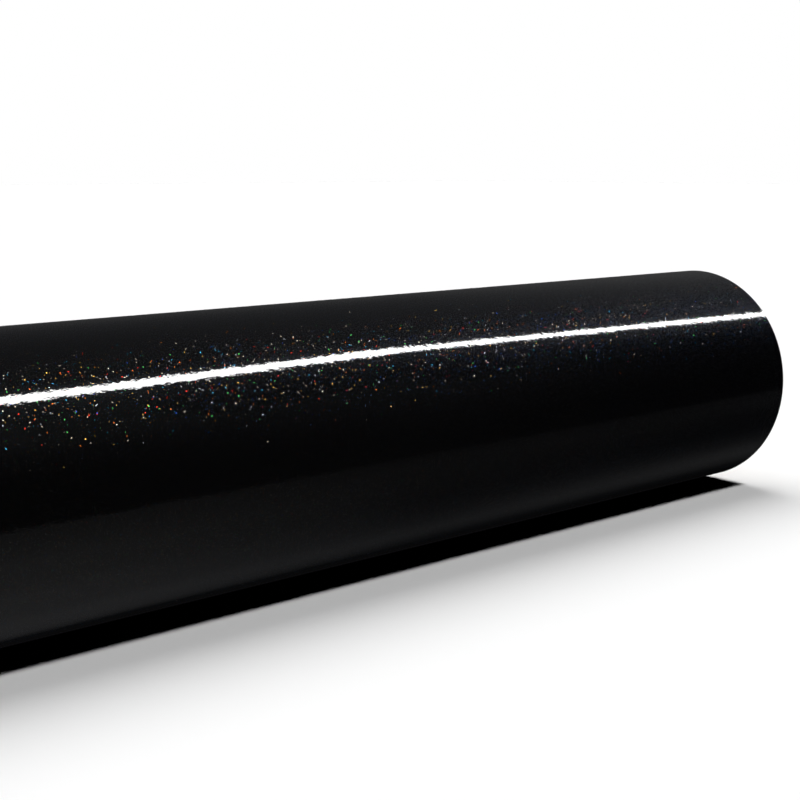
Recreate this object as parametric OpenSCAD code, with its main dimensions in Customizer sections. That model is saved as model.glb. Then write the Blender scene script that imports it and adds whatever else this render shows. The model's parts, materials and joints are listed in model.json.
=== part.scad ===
// Roll of sign vinyl on a paperboard core, with a lifting tail and peelable closure tabs.
// The roll's axis lies along X through the origin, at mid length. Z is up.

/* [Web] */
// Width of the vinyl web
web_w = 609.6; // [300:0.1:1524]
// Length of web wound on the core
web_len = 15240; // [5000:10:25000]
// Thickness of the face film with its adhesive coat
film_t = 0.10; // [0.08:0.01:0.16]
// Thickness of the release liner
liner_t = 0.14; // [0.10:0.01:0.20]

/* [Core] */
// Bore of the paperboard core
core_id = 76.2; // [50.8:0.1:76.2]
// Whole wall of the core
core_wall = 5; // [4:0.5:8]
// Thickness of the smooth paper ply inside and outside the core
skin_ply_t = 0.5; // [0.3:0.1:0.8]
// How far the core stands proud of the web at each end
core_reveal = 1.5; // [0.5:0.5:5]
// Width round the core of the starter tape that holds the first turn
starter_w = 25; // [12:1:50]
// Thickness of the starter tape
starter_t = 0.16; // [0.05:0.01:0.20]

/* [Tail] */
// Angle of the tail's free edge, from the back of the roll upwards
tip_a = 8; // [0:1:15]
// Angle at which the tail starts to lift off the roll
lift_a = 75; // [65:1:80]
// Angle from which the tail's release liner peels off the film
peel_a = 42; // [35:1:55]
// Space under the loose tail
tail_gap = 0.60; // [0.5:0.05:1]
// Space between the tail's film and the part of its liner that peels
peel_gap = 0.20; // [0.1:0.05:0.3]

/* [Closure tabs] */
// Width of each tab along the roll
tab_w = 24; // [15:1:40]
// Length of each half of a tab, either side of the tail's edge
tab_half = 24; // [15:1:26]
// Thickness of the tab tape
tab_t = 0.14; // [0.10:0.01:0.20]
// How far an outer tab's middle is from the web's end
tab_inset = 85; // [25:1:100]
// How far the centre of a tab's free half shifts, so that the half leans in towards the roll
tab_lean = 1.2; // [0:0.1:1.2]

/* [Core label] */
// Length of the label along the bore
label_len = 60; // [30:5:100]
// Height of the label round the bore
label_h = 42; // [20:1:60]
// Thickness of the label
label_t = 0.10; // [0.05:0.01:0.15]
// Distance from the core's end to the label
label_inset = 10; // [5:1:30]
// Angle of the label's middle, from the back of the roll upwards
label_a = 262; // [180:1:350]

/* [Hidden] */
$fn = 180;

web_t = film_t + liner_t;
core_len = web_w + 2 * core_reveal;
bore_r = core_id / 2;
core_r = bore_r + core_wall;
// The wound web fills a ring whose end area is its length times its thickness.
roll_r = sqrt(core_r * core_r + web_len * web_t / PI);
// Largest radius of the turns under the outer one, at the seam where the outer turn begins.
pack_r = round(100 * (roll_r - web_t)) / 100;
// The seam under the tail where the pack runs on into the outer turn.
seam_a = 40;
tail_r = pack_r + tail_gap;
tail_top_r = tail_r + web_t;
tab_pitch = web_w / 2 - tab_inset;
// Cut widths between pieces that swing apart, as angles at the roll's surface.
cut_a = 0.35;
starter_a = starter_w / core_r * 180 / PI;
starter_start_a = 60;
tab_half_a = tab_half / tail_top_r * 180 / PI;
tab_lean_a = asin(tab_lean / tail_top_r);
label_half_a = label_h / bore_r * 90 / PI;

// Sizes below are in a frame where the roll's axis is Z and angle 0 is the back of the roll.
// lay_along_x() turns that frame so that its x, y and z become the part's Y, Z and X.
module lay_along_x() {
    rotate([90, 0, 90]) children();
}

// A tube round the axis.
module tube(r_in, r_out, len) {
    difference() {
        cylinder(r = r_out, h = len, center = true);
        cylinder(r = r_in, h = len + 2, center = true);
    }
}

// A curved strip: r is its inner radius, t its thickness, from angle a0 to a1, len along the axis.
module strip(r, t, a0, a1, len) {
    rotate([0, 0, a0])
        rotate_extrude(angle = a1 - a0)
            translate([r, -len / 2]) square([t, len]);
}

// Half of a spiral turn. Its centre is a quarter of a web off the axis, on the seam's line.
module half_turn(r, len) {
    translate([web_t / 4, 0, 0])
        rotate_extrude(angle = 180)
            translate([0, -len / 2]) square([r, len]);
}

// All that lies inside one spiral turn, which is `rise` above the pack's own surface.
// Its radius falls by one web on the way round from the seam to the seam.
module snail(rise, len) {
    half_turn(pack_r - web_t / 4 + rise, len);
    rotate([0, 0, 180]) half_turn(pack_r - 3 * web_t / 4 + rise, len);
}

// One layer of the outer turn, from where the tail lifts round to the seam under the tail.
module outer_turn(rise, t) {
    lay_along_x()
        rotate([0, 0, seam_a])
            difference() {
                snail(rise + t, web_w);
                snail(rise, web_w + 2);
                strip(core_r, pack_r, 0, lift_a - seam_a + cut_a, web_w + 2);
            }
}

// The half of a tab that is stuck to the tail, at x along the roll.
module tab_base(x) {
    color("oldlace")
        lay_along_x()
            rotate([0, 0, tip_a])
                translate([0, 0, x]) strip(tail_top_r, tab_t, cut_a / 2, tab_half_a, tab_w);
}

// The half past the tail's edge, which peels off the roll. It leans in towards the roll, because
// its curve's centre is off the axis, square to the line from the axis to the tail's edge.
module tab_end(x) {
    color("oldlace")
        lay_along_x()
            rotate([0, 0, tip_a])
                translate([0, tab_lean, x])
                    strip(tail_top_r, tab_t, -tab_half_a - tab_lean_a, -cut_a / 2 - tab_lean_a, tab_w);
}

// Smooth paper on the bore.
module core_inner_ply() {
    color("burlywood") lay_along_x() tube(bore_r, bore_r + skin_ply_t, core_len);
}

// The glued board plies that make up most of the wall.
module core_board_plies() {
    color("tan") lay_along_x() tube(bore_r + skin_ply_t, core_r - skin_ply_t, core_len);
}

module core_outer_ply() {
    color("burlywood") lay_along_x() tube(core_r - skin_ply_t, core_r, core_len);
}

// Paper label stuck inside the bore at the left end.
module core_label() {
    color("white")
        lay_along_x()
            translate([0, 0, -core_len / 2 + label_inset + label_len / 2])
                strip(bore_r - label_t, label_t, label_a - label_half_a, label_a + label_half_a, label_len);
}

// Double-sided tape between the core and the first turn.
module starter_strip(r, t) {
    strip(r, t, starter_start_a, starter_start_a + starter_a, web_w);
}

module starter_tape() {
    color("ghostwhite") lay_along_x() starter_strip(core_r, starter_t);
}

// All turns under the outer one, wound tight: film and liner fill the whole ring.
module wound_pack() {
    color([0.03, 0.03, 0.04])
        lay_along_x()
            difference() {
                rotate([0, 0, seam_a]) snail(0, web_w);
                cylinder(r = core_r, h = web_w + 2, center = true);
                starter_strip(core_r - 1, 1 + starter_t);
            }
}

module outer_turn_liner() {
    color("whitesmoke") outer_turn(0, liner_t);
}

module outer_turn_film() {
    color([0.03, 0.03, 0.04]) outer_turn(liner_t, film_t);
}

// The loose end of the web: film outside, release liner under it.
module tail_film() {
    color([0.03, 0.03, 0.04]) lay_along_x() strip(tail_r + liner_t, film_t, tip_a, lift_a, web_w);
}

// The part of the tail's liner that stays on the film.
module tail_liner() {
    color("whitesmoke") lay_along_x() strip(tail_r, liner_t, peel_a, lift_a, web_w);
}

// The part of the tail's liner that peels off the film.
module peeling_liner() {
    color("whitesmoke") lay_along_x() strip(tail_r - peel_gap, liner_t, tip_a, peel_a - cut_a, web_w);
}

core_inner_ply();
core_board_plies();
core_outer_ply();
core_label();
starter_tape();
wound_pack();
outer_turn_liner();
outer_turn_film();
tail_film();
tail_liner();
peeling_liner();
tab_base(-tab_pitch);  // tab_left_base
tab_base(0);  // tab_middle_base
tab_base(tab_pitch);  // tab_right_base
tab_end(-tab_pitch);  // tab_left_end
tab_end(0);  // tab_middle_end
tab_end(tab_pitch);  // tab_right_end
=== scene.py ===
import json
import math

import bmesh
import bpy
import numpy as np
from mathutils import Matrix, Vector


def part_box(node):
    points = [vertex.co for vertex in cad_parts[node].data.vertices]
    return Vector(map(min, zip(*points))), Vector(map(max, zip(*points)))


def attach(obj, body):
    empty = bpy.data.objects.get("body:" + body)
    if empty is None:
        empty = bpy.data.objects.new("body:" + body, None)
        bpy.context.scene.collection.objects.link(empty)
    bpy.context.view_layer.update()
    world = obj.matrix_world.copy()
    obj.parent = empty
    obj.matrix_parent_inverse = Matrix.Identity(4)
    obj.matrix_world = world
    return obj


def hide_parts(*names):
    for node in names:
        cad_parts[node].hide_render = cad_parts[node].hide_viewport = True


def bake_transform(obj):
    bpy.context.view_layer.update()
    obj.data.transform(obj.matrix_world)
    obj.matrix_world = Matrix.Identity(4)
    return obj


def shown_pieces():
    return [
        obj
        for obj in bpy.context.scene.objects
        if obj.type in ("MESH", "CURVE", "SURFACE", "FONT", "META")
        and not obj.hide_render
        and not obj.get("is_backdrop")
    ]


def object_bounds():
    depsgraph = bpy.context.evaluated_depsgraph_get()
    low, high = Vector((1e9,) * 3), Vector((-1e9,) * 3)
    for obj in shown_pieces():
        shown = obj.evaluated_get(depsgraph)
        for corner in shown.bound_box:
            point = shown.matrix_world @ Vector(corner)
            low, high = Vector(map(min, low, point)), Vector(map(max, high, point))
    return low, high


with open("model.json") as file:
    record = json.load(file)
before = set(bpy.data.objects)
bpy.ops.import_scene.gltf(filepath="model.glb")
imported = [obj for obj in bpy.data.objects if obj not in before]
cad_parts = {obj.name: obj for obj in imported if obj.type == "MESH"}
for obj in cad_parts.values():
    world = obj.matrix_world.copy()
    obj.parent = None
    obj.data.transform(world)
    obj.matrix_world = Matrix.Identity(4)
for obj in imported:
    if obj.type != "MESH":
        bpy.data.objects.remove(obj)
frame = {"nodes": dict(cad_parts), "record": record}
CAD_LO, CAD_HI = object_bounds()

# The roll's axis lies along X. Angles are in degrees round it: 0 is the back, 90 the top, 180 the
# front, and the web is wound inwards as the angle grows. Lengths are in metres.

# ---------------------------------------------------------------- sizes, as in the CAD source
MM = 0.001
FILM, LINER = 0.10 * MM, 0.14 * MM
WEB = FILM + LINER
WEB_LENGTH = 15.24
CORE_WALL, SKIN_PLY = 5 * MM, 0.5 * MM
STARTER_TAPE = 0.16 * MM
TIP, SEAM, PEEL, LIFT = 8.0, 40.0, 42.0, 75.0
TAB_T, TAB_HALF, TAB_INSET = 0.14 * MM, 24 * MM, 85 * MM
LABEL_T, LABEL_LEN, LABEL_H = 0.10 * MM, 60 * MM, 42 * MM
LABEL_INSET, LABEL_A = 10 * MM, 262.0

# ---------------------------------------------------------------- sizes from the frame
mounts = {m["name"]: m for m in frame["record"]["mounts"]}
BORE_R = mounts["core_bore"]["dims"]["r_mm"] * MM
HALF_CORE = mounts["core_bore"]["dims"]["length_mm"] / 2 * MM
HALF_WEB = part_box("wound_pack")[1].x
TAB_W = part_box("tab_middle_base")[1].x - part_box("tab_middle_base")[0].x
CORE_R = BORE_R + CORE_WALL
ROLL_R = math.sqrt(CORE_R**2 + WEB_LENGTH * WEB / math.pi)
PACK_R = ROLL_R - WEB
FLOOR_Z = CAD_LO.z
TAB_X = (-HALF_WEB + TAB_INSET, 0.0, HALF_WEB - TAB_INSET)

# The web outside the core: the tail, the outer turn, then the wound turns, as winding angles.
TAIL_END = LIFT + 3
OUTER_END = SEAM + 360
FULL_TURNS, LAST_PART_TURN = 48, 93
PACK_END = FULL_TURNS * 360 + LAST_PART_TURN
PACK_CLEARANCE = 0.01 * MM
PACK_INNER_R = CORE_R + STARTER_TAPE + PACK_CLEARANCE
PACK_PITCH = (PACK_R - PACK_INNER_R) * 360 / (PACK_END - OUTER_END)
# Space between the outer turn and the turns under it.
OUTER_CLEARANCE = 0.003 * MM


def web_r(a):
    """Radius of the film's outer face at winding angle a, over the tail and the outer turn."""
    return PACK_R + WEB * (1 + (SEAM - a) / 360)


def pack_r(a):
    """The same for the turns under the outer one."""
    return PACK_R - OUTER_CLEARANCE - PACK_PITCH * (a - OUTER_END) / 360


def web_s(a):
    """Length of web from the tail's edge to winding angle a."""
    return np.radians(a - TIP) * (web_r(a) + web_r(TIP)) / 2


def cyl(a, r, x):
    """Points at angle a, radius r and place x along the axis."""
    a, r, x = np.broadcast_arrays(np.radians(a), r, x)
    return np.stack([x, r * np.cos(a), r * np.sin(a)], -1)


def ease(t):
    """0 to 1 along t, with a soft start and end."""
    t = np.clip(t, 0, 1)
    return t * t * (3 - 2 * t)


# ---------------------------------------------------------------- mesh building
SHARP_ANGLE = math.radians(35)


def quads(index):
    """Faces between the neighbours of a grid of vertex numbers."""
    return np.stack(
        [index[:-1, :-1], index[1:, :-1], index[1:, 1:], index[:-1, 1:]], -1
    ).reshape(-1, 4)


def make_piece(name, points, faces, materials, face_slots, uv):
    """One mesh piece, smooth but for its sharp edges. uv has a place on the web for each point."""
    mesh = bpy.data.meshes.new(name)
    mesh.from_pydata(points.tolist(), [], faces if isinstance(faces, list) else faces.tolist())
    for m in materials:
        mesh.materials.append(m)
    mesh.polygons.foreach_set("material_index", np.asarray(face_slots, np.int32))
    corner = np.zeros(len(mesh.loops), np.int32)
    mesh.loops.foreach_get("vertex_index", corner)
    layer = mesh.uv_layers.new(name="Web")
    layer.data.foreach_set("uv", np.asarray(uv, np.float32)[corner].ravel())
    bm = bmesh.new()
    bm.from_mesh(mesh)
    bmesh.ops.recalc_face_normals(bm, faces=bm.faces)
    bm.to_mesh(mesh)
    bm.free()
    mesh.shade_smooth()
    mesh.set_sharp_from_angle(angle=SHARP_ANGLE)
    obj = bpy.data.objects.new(name, mesh)
    bpy.context.scene.collection.objects.link(obj)
    return obj


def shell(name, outer, inner, uv, materials):
    """A closed thin piece between two grids of points, with outer, inner and rim materials."""
    rows, cols = outer.shape[:2]
    n = rows * cols
    index = np.arange(n).reshape(rows, cols)
    border = np.concatenate([index[0, :-1], index[:-1, -1], index[-1, :0:-1], index[:0:-1, 0]])
    after = np.roll(border, -1)
    rim = np.stack([border, after, after + n, border + n], -1)
    top, bottom = quads(index), quads(index)[:, ::-1] + n
    slots = np.repeat([0, 1, 2], [len(top), len(bottom), len(rim)])
    points = np.concatenate([outer.reshape(-1, 3), inner.reshape(-1, 3)])
    faces = np.concatenate([top, bottom, rim])
    both = np.concatenate([uv.reshape(-1, 2)] * 2)
    return make_piece(name, points, faces, materials, slots, both)


def revolved(name, profile, material, steps):
    """A ring: profile is a closed loop of (x, r) turned round the axis."""
    a = np.arange(steps) * 360 / steps
    profile = np.asarray(profile, float)
    k = len(profile)
    points = cyl(a[:, None], profile[None, :, 1], profile[None, :, 0]).reshape(-1, 3)
    index = np.arange(steps * k).reshape(steps, k)
    index = np.concatenate([index, index[:1]])
    index = np.concatenate([index, index[:, :1]], 1)
    along = np.concatenate([[0], np.cumsum(np.hypot(*np.diff(profile, axis=0).T))])
    uv = np.stack(np.broadcast_arrays(along[None, :], np.radians(a[:, None]) * CORE_R), -1)
    slots = np.zeros(steps * k, int)
    return make_piece(name, points, quads(index), [material], slots, uv.reshape(-1, 2))


# ---------------------------------------------------------------- materials
class Shade:
    """A material's node tree, with short calls that add its nodes and link them."""

    def __init__(self, name):
        self.material = bpy.data.materials.new(name)
        self.material.use_nodes = True
        self.tree = self.material.node_tree
        self.tree.nodes.clear()
        self.surface = self.node("ShaderNodeBsdfPrincipled")
        out = self.node("ShaderNodeOutputMaterial")
        self.tree.links.new(self.surface.outputs["BSDF"], out.inputs["Surface"])

    def node(self, kind, settings=None, **inputs):
        n = self.tree.nodes.new(kind)
        for key, value in (settings or {}).items():
            setattr(n, key, value)
        for key, value in inputs.items():
            self.put(n, key.replace("_", " "), value)
        return n

    def put(self, n, key, value):
        socket = n.inputs[key]
        if isinstance(value, bpy.types.NodeSocket):
            self.tree.links.new(value, socket)
        else:
            socket.default_value = value

    def set(self, **inputs):
        for key, value in inputs.items():
            self.put(self.surface, key.replace("_", " "), value)

    def math(self, operation, *values):
        n = self.node("ShaderNodeMath", {"operation": operation})
        for i, value in enumerate(values):
            self.put(n, i, value)
        return n.outputs[0]

    def vector(self, operation, *values, scale=None):
        n = self.node("ShaderNodeVectorMath", {"operation": operation})
        for i, value in enumerate(values):
            self.put(n, i, value)
        if scale is not None:
            self.put(n, "Scale", scale)
        return n.outputs["Vector"]

    def web_mm(self):
        """The piece's own sheet coordinates, in millimetres: along the roll, and along the web."""
        uv = self.node("ShaderNodeUVMap", {"uv_map": "Web"}).outputs["UV"]
        return self.vector("SCALE", uv, scale=1 / MM)

    def object_mm(self):
        place = self.node("ShaderNodeTexCoord").outputs["Object"]
        return self.vector("SCALE", place, scale=1 / MM)

    def noise(self, place, scale, detail=2.0, rough=0.5, stretch=None, flat=False):
        if stretch is not None:
            place = self.vector("MULTIPLY", place, stretch)
        n = self.node(
            "ShaderNodeTexNoise",
            {"noise_dimensions": "2D" if flat else "3D"},
            Vector=place,
            Scale=scale,
            Detail=detail,
            Roughness=rough,
        )
        return n.outputs["Fac"]

    def spread(self, value, low, high, to_low=0.0, to_high=1.0):
        n = self.node("ShaderNodeMapRange", None, Value=value)
        ends = {"From Min": low, "From Max": high, "To Min": to_low, "To Max": to_high}
        for key, v in ends.items():
            self.put(n, key, v)
        return n.outputs["Result"]

    def mix(self, share, a, b):
        n = self.node("ShaderNodeMix", {"data_type": "RGBA"})
        self.put(n, 0, share)
        self.put(n, 6, a)
        self.put(n, 7, b)
        return n.outputs[2]

    def bump(self, height, depth):
        n = self.node("ShaderNodeBump", None, Height=height, Distance=depth, Strength=1.0)
        return n.outputs["Normal"]


def grey(v):
    return (v, v, v, 1.0)


# Two sizes of flake: the smaller ones scatter dimly, the larger ones are mirrors that glint.
# Each row: cell and flake radius in mm, spread of tilt in radians, brightest value, roughness.
FLAKES = (
    (0.34, 0.10, 0.30, 0.012, 0.36),
    (0.50, 0.155, 0.30, 0.260, 0.08),
)
# The colours that flakes glint in, each from its place on a scale of 0 to 1 up to the next one's.
FLAKE_COLORS = (
    (0.00, (1.00, 0.90, 0.72)),
    (0.26, (1.00, 0.62, 0.12)),
    (0.44, (1.00, 0.26, 0.03)),
    (0.56, (0.95, 0.05, 0.02)),
    (0.64, (0.08, 0.62, 1.00)),
    (0.75, (0.05, 0.18, 1.00)),
    (0.82, (0.16, 0.95, 0.20)),
    (0.90, (0.85, 0.92, 1.00)),
)
# Flakes below this rank are dark, and the rest grow brighter along this power.
DARK_RANK, GLINT_POWER = 0.62, 1.6
# The smallest flake's radius, as a share of the largest one's.
LEAST_FLAKE = 0.6
FILM_BLACK = (0.0007, 0.0007, 0.0009, 1.0)
# The clear top's waves and ripples: lengths in mm, the ripples' share, and height in mm.
COAT_WAVE, COAT_RIPPLE, RIPPLE_SHARE, COAT_RELIEF = 4.5, 1.3, 0.40, 0.036


def film_material():
    """Black film full of tilted, coloured flakes under a high-gloss clear top."""
    s = Shade("film_flake")
    web = s.web_mm()
    normal = s.node("ShaderNodeNewGeometry").outputs["Normal"]
    along = (1.0, 0.0, 0.0)
    round_it = s.vector("CROSS_PRODUCT", normal, along)
    color, tilted, mask, rough = FILM_BLACK, normal, 0.0, 0.26
    for i, (cell, radius, tilt, bright, gloss) in enumerate(FLAKES):
        # each size has its own stretch of the pattern, so that their cells don't line up
        shifted = s.vector("ADD", web, (37.0 * i, 91.0 * i, 0.0))
        cells = s.node(
            "ShaderNodeTexVoronoi", {"voronoi_dimensions": "2D"}, Vector=shifted, Scale=1 / cell
        )
        one = s.node("ShaderNodeSeparateColor", None, Color=cells.outputs["Color"]).outputs
        # a cell's own colour gives three chances, and two more throws give three each
        dice = s.node("ShaderNodeTexWhiteNoise", {"noise_dimensions": "3D"})
        s.put(dice, "Vector", cells.outputs["Color"])
        two = s.node("ShaderNodeSeparateColor", None, Color=dice.outputs["Color"]).outputs
        again = s.node("ShaderNodeTexWhiteNoise", {"noise_dimensions": "3D"})
        s.put(again, "Vector", s.vector("ADD", cells.outputs["Color"], (5.0, 3.0, 8.0)))
        three = s.node("ShaderNodeSeparateColor", None, Color=again.outputs["Color"]).outputs
        size = s.spread(two[0], 0, 1, LEAST_FLAKE * radius / cell, radius / cell)
        here = s.math("LESS_THAN", cells.outputs["Distance"], size)
        rank = s.spread(two[1], DARK_RANK, 1)
        level = s.math("MULTIPLY", s.math("POWER", rank, GLINT_POWER), bright)
        hues = s.node("ShaderNodeValToRGB", None, Fac=one[0])
        hues.color_ramp.interpolation = "CONSTANT"
        stops = hues.color_ramp.elements
        stops.remove(stops[-1])
        stops[0].color = FLAKE_COLORS[0][1] + (1.0,)
        for share, hue in FLAKE_COLORS[1:]:
            stops.new(share).color = hue + (1.0,)
        paint = s.vector("SCALE", hues.outputs["Color"], scale=level)
        color = s.mix(here, color, paint)
        # the sum of three even chances is close to a bell curve
        bell = s.math("ADD", s.math("ADD", one[1], three[0]), three[1])
        lean_y = s.vector("SCALE", round_it, scale=s.spread(bell, 0, 3, -tilt * 1.5, tilt * 1.5))
        lean_x = s.vector("SCALE", along, scale=s.spread(one[2], 0, 1, -tilt, tilt))
        lean = s.vector("SCALE", s.vector("ADD", lean_x, lean_y), scale=here)
        tilted = s.vector("ADD", tilted, lean)
        mask = s.math("MAXIMUM", mask, here)
        rough = s.spread(here, 0, 1, rough, gloss)
    s.set(
        Base_Color=color,
        Metallic=mask,
        Normal=s.vector("NORMALIZE", tilted),
        Roughness=rough,
        Coat_Weight=1.0,
        Coat_Roughness=0.035,
        Coat_IOR=1.5,
        Specular_IOR_Level=0.015,
        Specular_Tint=(0.62, 0.72, 1.0, 1.0),
    )
    wave = s.noise(web, 1 / COAT_WAVE, 3, 0.6, flat=True)
    ripple = s.noise(web, 1 / COAT_RIPPLE, 2, 0.5, stretch=(0.6, 1.0, 1.0), flat=True)
    height = s.math("ADD", wave, s.math("MULTIPLY", ripple, RIPPLE_SHARE))
    s.set(Coat_Normal=s.bump(height, COAT_RELIEF * MM))
    return s.material


def film_back_material():
    """The film's adhesive side: dark, with the soft waves of a coated glue."""
    s = Shade("film_adhesive")
    web = s.web_mm()
    wave = s.noise(web, 1 / 3.0, 3, 0.6, flat=True)
    grain = s.noise(web, 1 / 0.25, 2, 0.6, flat=True)
    s.set(
        Base_Color=s.mix(wave, (0.028, 0.029, 0.032, 1), (0.045, 0.046, 0.050, 1)),
        Roughness=s.spread(grain, 0.3, 0.7, 0.22, 0.36),
        Specular_IOR_Level=0.5,
        Normal=s.bump(s.math("ADD", wave, s.math("MULTIPLY", grain, 0.2)), 0.01 * MM),
    )
    return s.material


def film_edge_material():
    """The cut edge of the film, dull from the knife."""
    s = Shade("film_edge")
    place = s.object_mm()
    cut = s.noise(place, 1 / 0.15, 3, 0.6)
    s.set(
        Base_Color=s.mix(cut, (0.010, 0.010, 0.012, 1), (0.035, 0.036, 0.040, 1)),
        Roughness=s.spread(cut, 0.3, 0.7, 0.40, 0.62),
        Normal=s.bump(cut, 0.01 * MM),
    )
    return s.material


# The liner's cutting grid: the distance between lines, and half a line's width, in mm.
GRID_STEP, GRID_LINE = 25.4, 0.20


def liner_material(name, grid):
    """Release paper. Its back has a faint cutting grid, and its face a smooth silicone coat."""
    s = Shade(name)
    web = s.web_mm()
    cloud = s.noise(web, 1 / 1.7, 4, 0.65, flat=True)
    fibre = s.noise(web, 1 / 0.35, 3, 0.6, stretch=(0.25, 1.0, 1.0), flat=True)
    color = s.mix(cloud, (0.74, 0.755, 0.745, 1), (0.82, 0.83, 0.815, 1))
    if grid:
        sides = s.node("ShaderNodeSeparateXYZ", None, Vector=web)
        lines = []
        for axis in (0, 1):
            wrapped = s.math("PINGPONG", sides.outputs[axis], GRID_STEP / 2)
            lines.append(s.math("LESS_THAN", wrapped, GRID_LINE))
        line = s.math("MULTIPLY", s.math("MAXIMUM", *lines), 0.55)
        color = s.mix(line, color, (0.42, 0.52, 0.60, 1))
    smooth, coarse, relief = (0.42, 0.56, 0.014 * MM) if grid else (0.24, 0.34, 0.006 * MM)
    s.set(
        Base_Color=s.mix(s.math("MULTIPLY", fibre, 0.22), color, (0.66, 0.65, 0.61, 1)),
        Roughness=s.spread(cloud, 0.3, 0.7, smooth, coarse),
        Specular_IOR_Level=0.4,
        Normal=s.bump(s.math("ADD", cloud, fibre), relief),
    )
    return s.material


def liner_edge_material():
    """The cut edge of the liner: white paper fibres, a little yellowed in places."""
    s = Shade("liner_edge")
    place = s.object_mm()
    fibre = s.noise(place, 1 / 0.12, 3, 0.65)
    age = s.noise(place, 1 / 14.0, 2, 0.5)
    s.set(
        Base_Color=s.mix(fibre, s.mix(age, (0.60, 0.59, 0.55, 1), (0.72, 0.71, 0.67, 1)),
                         (0.80, 0.79, 0.76, 1)),
        Roughness=0.85,
        Normal=s.bump(fibre, 0.02 * MM),
    )
    return s.material


def board_material(name, low, high, stretch, fleck, rough):
    """Paperboard between two shades: matted fibres, dark flecks, and slow changes of shade."""
    s = Shade(name)
    place = s.object_mm()
    slow = s.noise(place, 1 / 22.0, 3, 0.55)
    fibre = s.noise(place, 1 / 0.55, 4, 0.7, stretch=stretch)
    hair = s.node(
        "ShaderNodeTexVoronoi", {"feature": "F1"}, Vector=s.vector("MULTIPLY", place, stretch),
        Scale=1 / 0.9,
    )
    fleck_on = s.math("LESS_THAN", hair.outputs["Distance"], 0.16)
    base = s.mix(s.math("MULTIPLY", s.math("ADD", slow, fibre), 0.5), low, high)
    dark = tuple(0.45 * c for c in low[:3]) + (1.0,)
    s.set(
        Base_Color=s.mix(s.math("MULTIPLY", fleck_on, fleck), base, dark),
        Roughness=s.spread(fibre, 0.3, 0.7, rough - 0.08, rough + 0.08),
        Specular_IOR_Level=0.3,
        Normal=s.bump(s.math("ADD", fibre, s.math("MULTIPLY", hair.outputs["Distance"], 0.3)),
                      0.05 * MM),
    )
    return s.material


def tape_material():
    """Creped paper tape."""
    s = Shade("tab_tape")
    web = s.web_mm()
    crepe = s.noise(web, 1 / 0.6, 3, 0.6, stretch=(0.22, 1.0, 1.0), flat=True)
    fibre = s.noise(web, 1 / 0.18, 2, 0.6, flat=True)
    base = s.mix(crepe, (0.47, 0.40, 0.26, 1), (0.62, 0.55, 0.40, 1))
    s.set(
        Base_Color=s.mix(s.math("MULTIPLY", fibre, 0.25), base, (0.68, 0.63, 0.51, 1)),
        Roughness=s.spread(crepe, 0.3, 0.7, 0.62, 0.80),
        Specular_IOR_Level=0.35,
        Normal=s.bump(s.math("ADD", crepe, s.math("MULTIPLY", fibre, 0.3)), 0.05 * MM),
    )
    return s.material


def starter_material():
    """Matte double-sided tape: a translucent white carrier with a woven scrim."""
    s = Shade("starter_tape")
    place = s.object_mm()
    weave = s.node("ShaderNodeTexChecker", None, Vector=place, Scale=1 / 0.4)
    cloud = s.noise(place, 1 / 0.8, 3, 0.6)
    s.set(
        Base_Color=s.mix(s.math("MULTIPLY", weave.outputs["Fac"], 0.3),
                         s.mix(cloud, (0.70, 0.71, 0.70, 1), (0.80, 0.80, 0.79, 1)),
                         (0.60, 0.61, 0.62, 1)),
        Roughness=s.spread(cloud, 0.3, 0.7, 0.45, 0.65),
        Normal=s.bump(weave.outputs["Fac"], 0.02 * MM),
    )
    return s.material


def label_material():
    """A printed core label with bands of colour and empty boxes, and no words."""
    s = Shade("label_face")
    web = s.web_mm()
    sides = s.node("ShaderNodeSeparateXYZ", None, Vector=web)
    u, v = sides.outputs["X"], sides.outputs["Y"]
    cloud = s.noise(web, 1 / 0.5, 3, 0.6, flat=True)
    color = s.mix(cloud, (0.80, 0.80, 0.78, 1), (0.86, 0.86, 0.84, 1))

    def box(u0, u1, v0, v1):
        inside_u = s.math("MULTIPLY", s.math("GREATER_THAN", u, u0), s.math("LESS_THAN", u, u1))
        inside_v = s.math("MULTIPLY", s.math("GREATER_THAN", v, v0), s.math("LESS_THAN", v, v1))
        return s.math("MULTIPLY", inside_u, inside_v)

    half_u, half_v = LABEL_LEN / MM / 2, LABEL_H / MM / 2
    blue, red = (0.02, 0.10, 0.26, 1), (0.62, 0.05, 0.03, 1)
    ink, panel = (0.05, 0.05, 0.06, 1), (0.60, 0.61, 0.62, 1)
    color = s.mix(box(-half_u, half_u, half_v - 9, half_v), color, blue)
    color = s.mix(box(-half_u, half_u, half_v - 11, half_v - 9.8), color, red)
    margin, box_h, box_pitch, rule = 4, 6.5, 8.5, 0.4
    left, right = -half_u + margin, half_u - 20
    for row in range(3):
        low = -half_v + 3.5 + box_pitch * row
        whole = box(left, right, low, low + box_h)
        hole = box(left + rule, right - rule, low + rule, low + box_h - rule)
        color = s.mix(s.math("SUBTRACT", whole, hole), color, ink)
    side = half_u - margin
    color = s.mix(box(side - 12, side, -half_v + margin, -half_v + margin + 12), color, panel)
    s.set(
        Base_Color=color,
        Roughness=s.spread(cloud, 0.3, 0.7, 0.28, 0.40),
        Specular_IOR_Level=0.5,
        Normal=s.bump(cloud, 0.006 * MM),
    )
    return s.material


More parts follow.
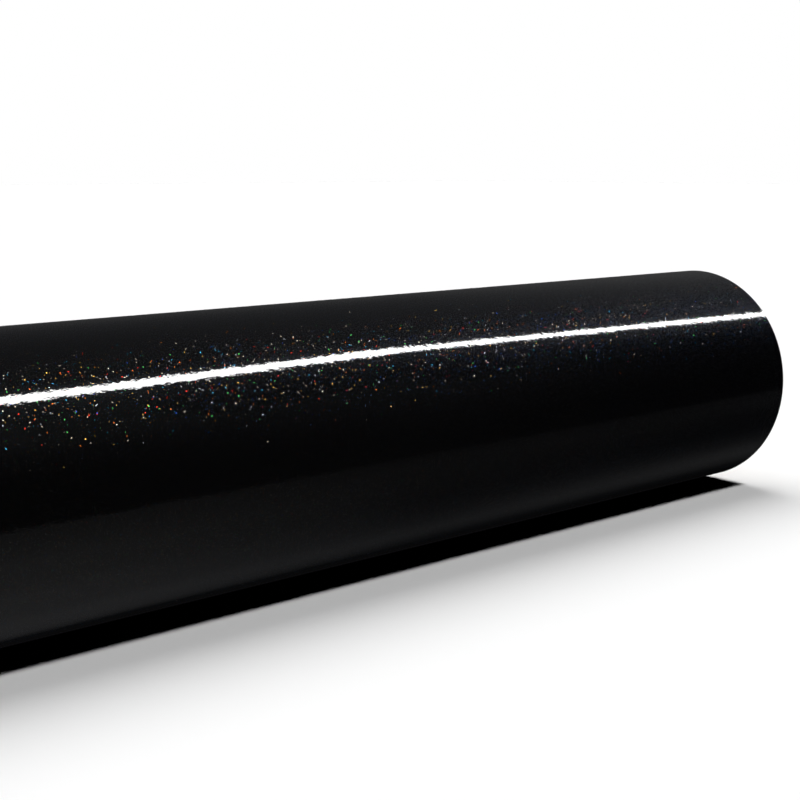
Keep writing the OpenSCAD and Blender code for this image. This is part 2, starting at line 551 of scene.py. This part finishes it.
FILM_FACE = film_material()
FILM_BACK = film_back_material()
FILM_EDGE = film_edge_material()
LINER_BACK = liner_material("liner_back", True)
LINER_FACE = liner_material("liner_face", False)
LINER_EDGE = liner_edge_material()
BORE_PAPER = board_material(
    "core_paper", (0.46, 0.36, 0.25, 1), (0.62, 0.51, 0.38, 1), (0.35, 1.0, 1.0), 0.35, 0.74
)
BOARD = board_material(
    "core_board", (0.30, 0.235, 0.165, 1), (0.47, 0.385, 0.285, 1), (1.0, 1.0, 1.0), 0.5, 0.88
)
LABEL_FACE = label_material()
TAPE = tape_material()
FILM_SIDES = [FILM_FACE, FILM_BACK, FILM_EDGE]
LINER_SIDES = [LINER_FACE, LINER_BACK, LINER_EDGE]


# ---------------------------------------------------------------- the wound web
rng = np.random.default_rng(7)
TURNS = 50
# How far each turn's edge stands from the others, at each end: a guide lets the web wander a
# little, and now and then a turn jumps.
drift = np.cumsum(rng.normal(0, 0.035, (2, TURNS)), axis=1)
drift -= drift.mean(axis=1, keepdims=True)
jump = (rng.random((2, TURNS)) < 0.12) * rng.normal(0, 0.16, (2, TURNS))
TURN_EDGE = np.clip(drift + jump + rng.normal(0, 0.04, (2, TURNS)), -0.34, 0.30) * MM


def edge_shift(end, a):
    """How far the web's edge stands out at one end (0 left, 1 right) at winding angle a."""
    turn = (np.asarray(a, float) - TIP) / 360
    steady = np.interp(turn, np.arange(TURNS), TURN_EDGE[end])
    weave = 0.05 * MM * np.sin(2 * math.pi * (turn * 1.37 + 0.3 * end))
    return steady + weave


def web_x(a, columns):
    """Places along the roll across the web at winding angle a, from its left to its right edge."""
    a = np.asarray(a, float)[:, None]
    share = np.linspace(0, 1, columns)[None, :]
    left = -HALF_WEB - edge_shift(0, a)
    right = HALF_WEB + edge_shift(1, a)
    return left + (right - left) * share


def web_grid(a, columns, radius):
    """A grid of points over the web, where radius(a, x) is its height from the axis."""
    x = web_x(a, columns)
    turn = a[:, None] + 0 * x
    return cyl(turn, radius(turn, x), x), np.stack([x, web_s(turn)], -1)


def tail_lift(a, x):
    """How far the loose tail stands off the roll: least at the tabs, most between them."""
    to_tab = np.min([np.abs(x - t) for t in TAB_X], axis=0)
    span = TAB_X[2] - TAB_X[1]
    open_share = ease((to_tab - TAB_W / 2) / (span / 2 - TAB_W / 2))
    ripple = 0.10 * np.sin(x * 31 + 0.7) + 0.07 * np.sin(x * 73 + 2.1)
    height = (0.05 + open_share * (0.62 + ripple)) * MM
    reach = 20 + 22 * open_share
    return height * ease((TIP + reach - a) / reach)


# Space between film and liner, degrees of the web to one face, and points across the web.
GAP = 0.004 * MM
STEP_A = 1.0
FILM_COLUMNS, LINER_COLUMNS = 25, 13
TAIL_COLUMNS, TAIL_LINER_COLUMNS = 123, 62

a = np.arange(TAIL_END, OUTER_END + STEP_A / 2, STEP_A)
film_outer, uv = web_grid(a, FILM_COLUMNS, lambda t, x: web_r(t))
film_inner, _ = web_grid(a, FILM_COLUMNS, lambda t, x: web_r(t) - FILM)
outer_film = shell("outer_film", film_outer, film_inner, uv, FILM_SIDES)
liner_outer, _ = web_grid(a, LINER_COLUMNS, lambda t, x: web_r(t) - FILM - GAP)
liner_inner, uv = web_grid(a, LINER_COLUMNS, lambda t, x: web_r(t) - WEB + GAP)
outer_liner = shell("outer_liner", liner_outer, liner_inner, uv, LINER_SIDES)

a = np.arange(TIP, TAIL_END + STEP_A / 2, STEP_A)
tail_out, uv = web_grid(a, TAIL_COLUMNS, lambda t, x: web_r(t) + tail_lift(t, x))
tail_in, _ = web_grid(a, TAIL_COLUMNS, lambda t, x: web_r(t) - FILM + tail_lift(t, x))
tail_film = shell("tail_film_web", tail_out, tail_in, uv, FILM_SIDES)

# The tail's liner is in two pieces, which meet a little above where it peels.
PEEL_LAP = PEEL + 3
a = np.arange(PEEL_LAP, TAIL_END + STEP_A / 2, STEP_A)
columns = TAIL_LINER_COLUMNS
stay_out, _ = web_grid(a, columns, lambda t, x: web_r(t) - FILM - GAP + tail_lift(t, x))
stay_in, uv = web_grid(a, columns, lambda t, x: web_r(t) - WEB + GAP + tail_lift(t, x))
tail_liner = shell("tail_liner_web", stay_out, stay_in, uv, LINER_SIDES)


def peel_lift(t, x):
    """The peeled liner hangs between the film and the roll, and meets the film where it peels."""
    share = 0.45 + 0.55 * ease((t - PEEL + 14) / 16)
    return tail_lift(t, x) * share


# It starts just past the tail's edge, where it turns, and ends just short of the liner that stays.
LOOSE_START, LOOSE_END = TIP + 0.03, PEEL_LAP - 0.02
a = np.append(np.arange(LOOSE_START, LOOSE_END, STEP_A), LOOSE_END)
loose_out, _ = web_grid(a, columns, lambda t, x: web_r(t) - FILM - GAP + peel_lift(t, x))
loose_in, uv = web_grid(a, columns, lambda t, x: web_r(t) - WEB + GAP + peel_lift(t, x))
loose_liner = shell("loose_liner_web", loose_out, loose_in, uv, LINER_SIDES)


def wound_turns():
    """All the turns under the outer one, as one closed body: its outer face is film, and each end
    is a spiral of film and liner edges, every turn standing a little in or out of the next."""
    per_turn = 120
    step = 360 / per_turn
    liner_out = 0.03 * MM
    n = round((PACK_END - OUTER_END) / step)
    a = OUTER_END + np.arange(n + 1) * step
    r = pack_r(a)
    film_share = FILM / WEB
    points, loops, faces, slots = [], [], [], []
    groove_r, groove_in = PACK_INNER_R, 0.8 * MM
    for end, side in enumerate((-1, 1)):
        film_x = side * (HALF_WEB + edge_shift(end, a))
        liner_x = film_x + side * liner_out
        rings = [(r, film_x), (r - film_share * PACK_PITCH, film_x),
                 (r - film_share * PACK_PITCH, liner_x), (r - PACK_PITCH, liner_x)]
        start = end * (4 * (n + 1) + per_turn)
        index = start + np.arange(4 * (n + 1)).reshape(4, n + 1).T
        for radius, x in rings:
            points.append(cyl(a, radius, x))
            loops.append(np.stack([x, web_s(a)], -1))
        last = a[n - per_turn : n]
        points.append(cyl(last, groove_r, side * (HALF_WEB - groove_in)))
        loops.append(np.stack([0 * last + side * HALF_WEB, web_s(last)], -1))
        groove = start + 4 * (n + 1) + np.arange(per_turn + 1) % per_turn
        for k, slot in ((0, 1), (1, 2), (2, 2)):
            faces.append(quads(index[:, k : k + 2]))
            slots.append(np.full(n, slot))
        wall = np.stack([index[: n + 1 - per_turn, 3], index[per_turn:, 0]], -1)
        faces.append(quads(wall))
        slots.append(np.full(n - per_turn, 1))
        foot = np.stack([index[n - per_turn :, 3], groove], -1)
        faces.append(quads(foot))
        slots.append(np.full(per_turn, 2))
        if end == 0:
            left, left_groove = index, groove
        else:
            right, right_groove = index, groove
    outside = np.stack([left[: per_turn + 1, 0], right[: per_turn + 1, 0]], -1)
    inside = np.stack([left_groove, right_groove], -1)
    # the two steps where the spiral's outer and inner ends stop
    first = np.stack([np.append(line[0], line[per_turn, 0]) for line in (left, right)], -1)
    final = np.stack(
        [np.concatenate([[line[n - per_turn, 3]], line[n], [foot[0]]])
         for line, foot in ((left, left_groove), (right, right_groove))], -1)
    for grid, slot in ((outside, 0), (inside, 2), (first, 2), (final, 2)):
        faces.append(quads(grid))
        slots.append(np.full(len(faces[-1]), slot))
    return make_piece(
        "wound_turns", np.concatenate(points), np.concatenate(faces),
        [FILM_FACE, FILM_EDGE, LINER_EDGE], np.concatenate(slots), np.concatenate(loops)
    )


turns = wound_turns()


# ---------------------------------------------------------------- the core
def inner_ply():
    """The bore's paper, wound in a helix: its seam is a fine groove that runs round the bore."""
    lead = 137 * MM
    seam_depth, seam_half_a = 0.16 * MM, 0.5
    columns = np.concatenate([[0, 0.35, 0.9, 1.8], np.linspace(4, 356, 72), [358.2, 359.1, 359.65]])
    from_seam = np.minimum(columns, 360 - columns)
    depth = seam_depth * np.exp(-((from_seam / seam_half_a) ** 2))
    x = np.linspace(-HALF_CORE, HALF_CORE, 257)
    chamfer = 0.25 * MM
    rows = np.concatenate([[x[0], x[0] + chamfer], x[1:-1], [x[-1] - chamfer, x[-1]]])
    a = columns[None, :] - 360 * rows[:, None] / lead
    flare = np.zeros((len(rows), 1))
    flare[[0, -1]] = 0.12 * MM
    sag = 0.03 * MM * np.sin(np.radians(2 * a + 400 * rows[:, None]))
    inside = cyl(a, BORE_R + depth[None, :] + flare + 0.03 * MM + sag, rows[:, None])
    outside = cyl(a, BORE_R + SKIN_PLY, rows[:, None])
    count = len(columns)
    index = np.arange(len(rows) * count).reshape(len(rows), count)
    index = np.concatenate([index, index[:, :1]], 1)
    n = len(rows) * count
    ends = [np.stack([index[k], index[k] + n], -1) for k in (0, -1)]
    faces = np.concatenate([quads(index), quads(index) + n, quads(ends[0]), quads(ends[1])])
    points = np.concatenate([inside.reshape(-1, 3), outside.reshape(-1, 3)])
    flat = np.stack(np.broadcast_arrays(rows[:, None], np.radians(a) * BORE_R), -1).reshape(-1, 2)
    body = 2 * len(quads(index))
    slots = np.repeat([0, 1], [body, len(faces) - body])
    return make_piece(
        "core_bore_paper", points, faces, [BORE_PAPER, BOARD], slots, np.concatenate([flat, flat])
    )


def board_plies():
    """The wall's glued board plies. At each end a ply stands a little in or out of the next."""
    low, high = BORE_R + SKIN_PLY, CORE_R - SKIN_PLY
    plies = 8
    pitch = (high - low) / plies
    stand = rng.uniform(-0.10, 0.0, (2, plies)) * MM
    glue, glue_in = 0.05 * MM, 0.16 * MM

    def end_profile(end, side):
        line = []
        for k in range(plies):
            x = side * (HALF_CORE + stand[end][k])
            r0, r1 = low + k * pitch, low + (k + 1) * pitch
            line += [(x - side * glue_in, r0), (x, r0 + glue), (x, r1 - glue)]
        return line + [(side * (HALF_CORE - glue_in), high)]

    profile = end_profile(0, -1) + end_profile(1, 1)[::-1]
    return revolved("core_board", profile, BOARD, 144)


def outer_ply():
    """The smooth paper outside the core, with its edges rubbed round."""
    low, high = CORE_R - SKIN_PLY, CORE_R
    soft = 0.15 * MM
    end = [(HALF_CORE - 0.02 * MM, low), (HALF_CORE, low + soft), (HALF_CORE, high - soft),
           (HALF_CORE - 0.05 * MM, high - 0.05 * MM), (HALF_CORE - soft, high)]
    profile = [(-x, r) for x, r in end] + end[::-1]
    return revolved("core_outer_paper", profile, BORE_PAPER, 180)


def core_label_piece():
    """A label with round corners, stuck to the bore."""
    radius = 3 * MM
    rows = 41
    v = np.linspace(-LABEL_H / 2, LABEL_H / 2, rows)
    fine = radius * (1 - np.cos(np.linspace(0, math.pi / 2, 7)))
    v = np.concatenate([v[0] + fine, v[4:-4], v[-1] - fine[::-1]])
    v = np.unique(np.round(v, 7))
    past = np.clip(np.abs(v) - (LABEL_H / 2 - radius), 0, radius)
    half = LABEL_LEN / 2 - radius + np.sqrt(radius**2 - past**2)
    share = np.linspace(-1, 1, 49)
    u = half[:, None] * share[None, :]
    middle = -HALF_CORE + LABEL_INSET + LABEL_LEN / 2
    a = LABEL_A + np.degrees(v / BORE_R)[:, None] + 0 * u
    # one corner has begun to curl
    from_corner = np.hypot(u - LABEL_LEN / 2, v[:, None] - LABEL_H / 2)
    curl = 0.55 * MM * ease(1 - from_corner / (9 * MM))
    glue = 0.04 * MM
    face = BORE_R - glue - LABEL_T - curl
    inner, outer = cyl(a, face, middle + u), cyl(a, face + LABEL_T, middle + u)
    uv = np.stack([u, v[:, None] + 0 * u], -1)
    return shell("core_label_sheet", inner, outer, uv, [LABEL_FACE, BORE_PAPER, BORE_PAPER])


bore_paper, board, outer_paper, label = inner_ply(), board_plies(), outer_ply(), core_label_piece()


# ---------------------------------------------------------------- the closure tabs
def roll_r(a):
    """The roll's surface under the tail's edge, where the outer turn passes below it."""
    return web_r(a + 360)


def tab(name, middle, seed):
    """One strip of creped tape over the tail's edge, with toothed ends. It lies on the tail and
    steps down on to the roll beyond the edge, and its far end has begun to lift."""
    local = np.random.default_rng(seed)
    reach = math.degrees(TAB_HALF / ROLL_R)
    t = np.arange(-reach, reach + 0.01, 2 * reach / 200)
    across = np.linspace(-TAB_W / 2, TAB_W / 2, 33)
    tooth = np.degrees(0.8 * MM / ROLL_R)
    tooth_pitch = 3 * MM
    zigzag = np.abs(((across / tooth_pitch) % 1) * 2 - 1)
    near_a = 3
    start = ease((-reach + near_a - t) / near_a)[:, None] * zigzag[None, :] * tooth
    finish = ease((t - reach + near_a) / near_a)[:, None] * zigzag[::-1][None, :] * tooth
    a = TIP + t[:, None] + start - finish
    x = middle + across[None, :] * (1 + 0.006 * local.normal(0, 1, (1, 1))) + 0 * a
    skew = 0.5 * MM * local.uniform(-1, 1) * (a - TIP) / reach
    x = x + skew
    on_tail = web_r(a) + tail_lift(a, x)
    step_start, step_a, glue = TIP - 0.2, 2.6, 0.01 * MM
    down = ease((step_start - a) / step_a)
    seat = on_tail * (1 - down) + roll_r(a) * down + glue
    ripple = local.normal(0, 1, len(t))
    ripple = 0.018 * MM * np.convolve(ripple, [0.25, 0.5, 0.25], "same")[:, None]
    end_a = 3.5
    lift = 0.25 * MM * ease((TIP - reach + end_a - a) / end_a)
    outer = cyl(a, seat + TAB_T + lift + ripple, x)
    inner = cyl(a, seat + lift, x)
    uv = np.stack([x, web_s(a)], -1)
    return shell(name, outer, inner, uv, [TAPE, TAPE, TAPE])


tabs = {
    body: tab(f"{body}_tape", x, 20 + i)
    for i, (body, x) in enumerate(zip(("tab_left", "tab_middle", "tab_right"), TAB_X))
}


for piece, nodes, slot in (
    (outer_film, ["outer_turn_film"], "film"),
    (outer_liner, ["outer_turn_liner"], "liner"),
    (turns, ["wound_pack"], "film"),
    (bore_paper, ["core_inner_ply"], "core_paper"),
    (board, ["core_board_plies"], "core_board"),
    (outer_paper, ["core_outer_ply"], "core_paper"),
    (label, ["core_label"], "label"),
):
    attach(piece, "roll")
    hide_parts(*nodes)

for piece, nodes, slot in (
    (tail_film, ["tail_film"], "film"),
    (tail_liner, ["tail_liner"], "liner"),
):
    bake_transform(piece)
    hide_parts(*nodes)

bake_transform(loose_liner)
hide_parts("peeling_liner")

for body, piece in tabs.items():
    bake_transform(piece)
    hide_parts(f"{body}_base", f"{body}_end")

starter = frame["nodes"]["starter_tape"]
starter.data.materials.clear()
starter.data.materials.append(starter_material())


# ---------------------------------------------------------------- floor and light
def floor_piece():
    """A plain pale floor that the gloss does not reflect."""
    size = 12.0
    corners = ((-1, -1), (1, -1), (1, 1), (-1, 1))
    points = np.array([(x * size, y * size, FLOOR_Z) for x, y in corners])
    s = Shade("floor")
    cloud = s.noise(s.object_mm(), 1 / 400.0, 2, 0.5)
    s.set(Base_Color=s.mix(cloud, grey(0.90), grey(0.91)), Roughness=0.9, Specular_IOR_Level=0.0)
    floor = make_piece("floor", points, [[0, 1, 2, 3]], [s.material], [0], points[:, :2])
    floor.visible_glossy = False
    floor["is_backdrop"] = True


floor_piece()


def toward(angle):
    """The unit direction out from the axis at that angle."""
    return Vector((0, math.cos(math.radians(angle)), math.sin(math.radians(angle)))).normalized()


def lamp(name, kind, out, distance, energy, **settings):
    """A lamp that shines from the direction `out` towards the roll."""
    data = bpy.data.lights.new(name, kind)
    data.energy = energy
    for key, value in settings.items():
        setattr(data, key, value)
    obj = bpy.data.objects.new(name, data)
    obj.location = out * distance
    obj.rotation_mode = "QUATERNION"
    obj.rotation_quaternion = out.to_track_quat("Z", "Y")
    bpy.context.scene.collection.objects.link(obj)
    obj.visible_camera = False
    return obj


# The highlight is two strips end to end, a metre out, that meet at a shallow angle.
# Each row: both ends as (place along X, distance towards the back), then width.
KEY_OUT = toward(105.0)
KEY_POWER = 80.0
KEY_STRIPS = (
    ((-2.50, -0.408), (0.90, 0.017), 0.104),
    ((0.88, 0.016), (2.00, -0.176), 0.074),
)
back = KEY_OUT.cross(Vector((1, 0, 0)))
for i, (start, end, width) in enumerate(KEY_STRIPS):
    start, end = (KEY_OUT + Vector((x, 0, 0)) + back * v for x, v in (start, end))
    length = (end - start).length
    key = lamp(f"key_strip_{i}", "AREA", KEY_OUT, 1.0, KEY_POWER * length * width,
               shape="RECTANGLE", size=length, size_y=width)
    key.location = (start + end) / 2
    ahead = (end - start) / length
    turn = Matrix((ahead, KEY_OUT.cross(ahead), KEY_OUT)).transposed()
    key.rotation_quaternion = turn.to_quaternion()
    key.visible_diffuse = False
    key.data.cycles.max_bounces = 0
# One lamp from each side lights the floor, so that the roll's own shadow is black and the floor
# beyond it fades up to white.
floor_front = lamp("floor_front", "SUN", toward(115.6), 3.0, 1.62, angle=math.radians(7))
floor_back = lamp("floor_back", "SUN", toward(70.5), 3.0, 2.18, angle=math.radians(51))
for sun in (floor_front, floor_back):
    sun.visible_glossy = False

receivers = bpy.data.collections.new("lit_by_fill")
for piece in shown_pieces():
    receivers.objects.link(piece)
for name, out, energy in (
    ("fill_left", Vector((-1, -0.35, 0.35)).normalized(), 1.6),
    ("fill_right", Vector((1, 0.35, 0.35)).normalized(), 1.6),
    ("fill_rear", Vector((0, 1, 0.25)).normalized(), 0.9),
    ("fill_front", Vector((0, -1, 0.25)).normalized(), 0.7),
):
    fill = lamp(name, "SUN", out, 3.0, energy, angle=math.radians(60))
    fill.visible_glossy = False
    fill.light_linking.receiver_collection = receivers

# Brightness that the gloss reflects from each direction round the roll, as degrees from straight
# up (front positive), then the share of white for a ray that leans along X by each of LEANS.
SURROUND = (
    (-180, 0.12, 0.143, 0.038, 0.045),
    (-171, 0.12, 0.129, 0.044, 0.045),
    (-165, 0.12, 0.114, 0.042, 0.032),
    (-150, 0.06, 0.060, 0.012, 0.006),
    (-140, 0.02, 0.006, 0.004, 0.003),
    (-122, 0.03, 0.004, 0.004, 0.003),
    (-114, 0.50, 0.005, 0.005, 0.004),
    (-105, 0.50, 0.008, 0.008, 0.006),
    (-99, 0.50, 0.036, 0.040, 0.040),
    (-88, 0.05, 0.042, 0.045, 0.050),
    (-57, 0.05, 0.051, 0.048, 0.080),
    (-20, 0.07, 0.067, 0.068, 0.085),
    (0, 0.09, 0.085, 0.072, 0.060),
    (20, 0.09, 0.089, 0.056, 0.032),
    (33, 0.10, 0.100, 0.045, 0.012),
    (50, 0.08, 0.079, 0.048, 0.009),
    (60, 0.05, 0.038, 0.044, 0.008),
    (75, 0.025, 0.014, 0.030, 0.007),
    (90, 0.025, 0.014, 0.020, 0.005),
    (108, 0.03, 0.018, 0.018, 0.006),
    (111, 0.08, 0.103, 0.040, 0.026),
    (120, 0.10, 0.128, 0.049, 0.029),
    (135, 0.14, 0.181, 0.042, 0.014),
    (150, 0.14, 0.183, 0.031, 0.010),
    (165, 0.15, 0.190, 0.031, 0.022),
    (180, 0.12, 0.143, 0.038, 0.045),
)
LEANS = (0.26, 0.40, 0.66, 0.81)


def surroundings():
    """A world lit as SURROUND says, which only the gloss sees, for its first two bounces. The
    camera sees plain white."""
    world = bpy.data.worlds.new("studio")
    bpy.context.scene.world = world
    world.use_nodes = True
    tree = world.node_tree
    tree.nodes.clear()
    new, link = tree.nodes.new, tree.links.new
    split = new("ShaderNodeSeparateXYZ")
    link(new("ShaderNodeTexCoord").outputs["Generated"], split.inputs[0])
    flip = new("ShaderNodeMath")
    flip.operation = "MULTIPLY"
    flip.inputs[1].default_value = -1
    link(split.outputs["Y"], flip.inputs[0])
    turn = new("ShaderNodeMath")
    turn.operation = "ARCTAN2"
    link(flip.outputs[0], turn.inputs[0])
    link(split.outputs["Z"], turn.inputs[1])
    share = new("ShaderNodeMapRange")
    share.inputs["From Min"].default_value = -math.pi
    share.inputs["From Max"].default_value = math.pi
    link(turn.outputs[0], share.inputs["Value"])
    color = None
    for side, lean in enumerate(LEANS):
        ramp = new("ShaderNodeValToRGB")
        link(share.outputs["Result"], ramp.inputs["Fac"])
        stops = ramp.color_ramp.elements
        for angle, *levels in SURROUND[1:-1]:
            stops.new((angle + 180) / 360).color = grey(levels[side])
        stops[0].color = grey(SURROUND[0][side + 1])
        stops[-1].color = grey(SURROUND[-1][side + 1])
        if color is None:
            color = ramp.outputs["Color"]
            continue
        across = new("ShaderNodeMapRange")
        across.inputs["From Min"].default_value = LEANS[side - 1]
        across.inputs["From Max"].default_value = lean
        link(split.outputs["X"], across.inputs["Value"])
        both = new("ShaderNodeMix")
        both.data_type = "RGBA"
        link(across.outputs["Result"], both.inputs[0])
        link(color, both.inputs[6])
        link(ramp.outputs["Color"], both.inputs[7])
        color = both.outputs[2]
    paths = new("ShaderNodeLightPath")
    glossy, seen = new("ShaderNodeBackground"), new("ShaderNodeBackground")
    link(color, glossy.inputs["Color"])
    direct, lit = new("ShaderNodeMath"), new("ShaderNodeMath")
    direct.operation, lit.operation = "LESS_THAN", "MULTIPLY"
    most_bounces = 2
    direct.inputs[1].default_value = most_bounces + 0.5
    link(paths.outputs["Ray Depth"], direct.inputs[0])
    link(paths.outputs["Is Glossy Ray"], lit.inputs[0])
    link(direct.outputs[0], lit.inputs[1])
    link(lit.outputs[0], glossy.inputs["Strength"])
    mix, out = new("ShaderNodeMixShader"), new("ShaderNodeOutputWorld")
    link(paths.outputs["Is Camera Ray"], mix.inputs["Fac"])
    link(glossy.outputs[0], mix.inputs[1])
    link(seen.outputs[0], mix.inputs[2])
    seen.inputs["Color"].default_value = grey(1.0)
    link(mix.outputs[0], out.inputs["Surface"])


surroundings()

# ---------------------------------------------------------------- camera
# The camera stands in front of the left end, a little above, and sees the roll run away from it.
# Its place is in roll radii from the middle of the right end.
CAMERA_TURN, CAMERA_TILT = math.radians(-41.8), math.radians(9.53)
CAMERA_PLACE = Vector((-11.066, -8.067, 1.982))
CAMERA_LENS = 62.37
camera = bpy.data.objects.new("camera", bpy.data.cameras.new("camera"))
camera.data.sensor_width = 36
camera.data.lens = CAMERA_LENS
camera.data.clip_start, camera.data.clip_end = 0.01, 60
camera.location = Vector((HALF_WEB, 0, 0)) + ROLL_R * CAMERA_PLACE
camera.rotation_euler = (math.pi / 2 - CAMERA_TILT, 0, CAMERA_TURN)
bpy.context.scene.collection.objects.link(camera)
bpy.context.scene.camera = camera
bpy.context.scene.view_settings.view_transform = "Standard"
